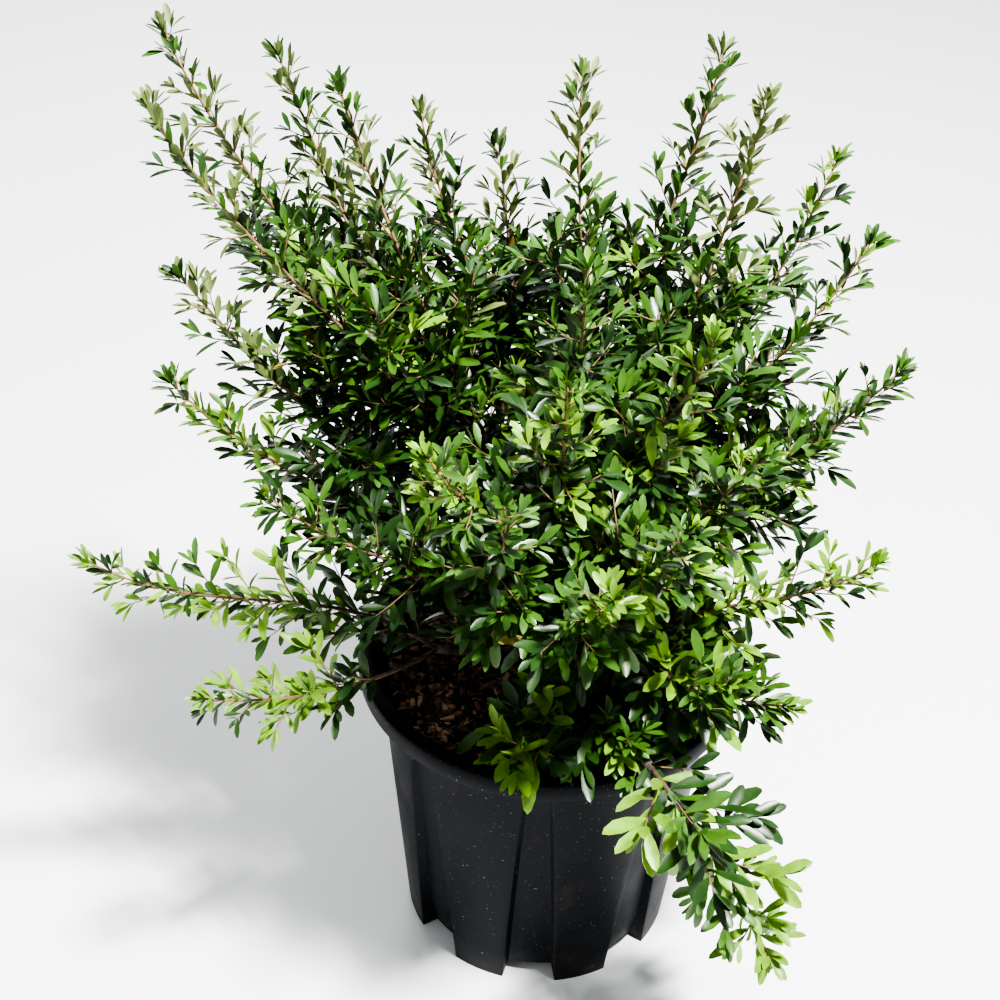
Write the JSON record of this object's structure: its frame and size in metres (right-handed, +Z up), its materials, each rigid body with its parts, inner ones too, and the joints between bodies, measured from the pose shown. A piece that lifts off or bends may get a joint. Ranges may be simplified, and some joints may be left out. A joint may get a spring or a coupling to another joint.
{
  "type": "potted shrub",
  "caption": "Evergreen shrub with narrow leaves on spreading, upswept shoots and one drooping shoot, growing in bark mix in a round fluted nursery pot with a rolled rim.",
  "frame": {"origin": "centre of the pot's flat underside", "axes": "+Z up along the pot's axis, the pictured front along -Y, the drooping shoot towards +X"},
  "size_m": [0.6011, 0.545, 0.7367],
  "materials": {
    "pot": "charcoal black, slightly dusty",
    "potting_mix": "dark composted bark chips",
    "bark": "grey-brown bark",
    "leaves": "semi-gloss evergreen leaves"
  },
  "bodies": {
    "root": {"bough_drooping": "bark", "bough_front": "bark", "bough_front_left": "bark", "bough_front_right": "bark", "bough_high_left": "bark", "bough_high_right": "bark", "bough_left": "bark", "bough_low_front": "bark", "bough_low_left": "bark", "bough_low_right": "bark", "bough_rear": "bark", "bough_rear_left": "bark", "bough_rear_right": "bark", "bough_right": "bark", "bough_top": "bark", "bough_upper_left": "bark", "foliage_drooping_1": "leaves", "foliage_front_1": "leaves", "foliage_front_2": "leaves", "foliage_front_left_1": "leaves", "foliage_front_left_2": "leaves", "foliage_front_left_3": "leaves", "foliage_front_right_1": "leaves", "foliage_front_right_2": "leaves", "foliage_front_right_3": "leaves", "foliage_high_left_1": "leaves", "foliage_high_left_2": "leaves", "foliage_high_left_3": "leaves", "foliage_high_right_1": "leaves", "foliage_high_right_2": "leaves", "foliage_left_1": "leaves", "foliage_left_2": "leaves", "foliage_low_front_1": "leaves", "foliage_low_front_2": "leaves", "foliage_low_left_1": "leaves", "foliage_low_left_2": "leaves", "foliage_low_right_1": "leaves", "foliage_low_right_2": "leaves", "foliage_low_right_3": "leaves", "foliage_rear_1": "leaves", "foliage_rear_2": "leaves", "foliage_rear_left_1": "leaves", "foliage_rear_left_2": "leaves", "foliage_rear_right_1": "leaves", "foliage_rear_right_2": "leaves", "foliage_right_1": "leaves", "foliage_right_2": "leaves", "foliage_right_3": "leaves", "foliage_top_1": "leaves", "foliage_top_2": "leaves", "foliage_upper_left_1": "leaves", "foliage_upper_left_2": "leaves", "foliage_upper_left_3": "leaves", "pot": "pot", "potting_mix": "potting_mix", "stem": "bark"}
  },
  "joints": []
}
